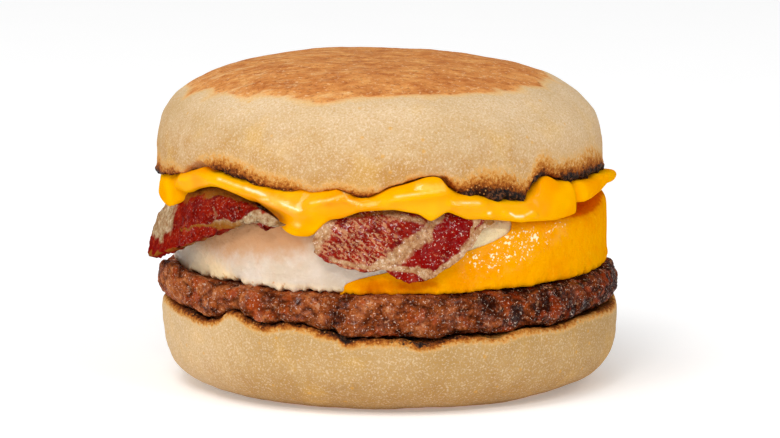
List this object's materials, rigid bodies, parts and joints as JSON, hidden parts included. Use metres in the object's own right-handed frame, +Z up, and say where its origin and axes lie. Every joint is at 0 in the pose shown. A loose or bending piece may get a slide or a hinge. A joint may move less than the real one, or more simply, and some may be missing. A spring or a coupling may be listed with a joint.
{
  "type": "breakfast sandwich",
  "caption": "Toasted muffin sandwich with a sausage patty, ring-cooked egg, back bacon and melted cheese.",
  "frame": {"origin": "middle of the flat underside of the muffin heel", "axes": "+Z up through the layers, -Y towards the front where the bacon hangs down, +X to the right of that front"},
  "size_m": [0.1043, 0.1026, 0.0724],
  "materials": {
    "muffin": "floury baked crust, browned on the flat top and toasted dark along the cut edges",
    "sausage": "griddled minced meat, moist and coarse",
    "egg_white": "set egg white, soft and slightly moist",
    "egg_yolk": "set yolk, moist with fine pores",
    "bacon": "cooked lean meat marbled and edged with pale fat, glistening",
    "cheese": "melted processed cheese, smooth and glossy"
  },
  "bodies": {
    "root": {"muffin_heel": "muffin", "sausage_patty": "sausage", "egg_white": "egg_white", "egg_yolk": "egg_yolk", "bacon_left": "bacon", "bacon_front": "bacon", "cheese_lower": "cheese", "cheese_upper": "cheese", "muffin_crown": "muffin"}
  },
  "joints": []
}
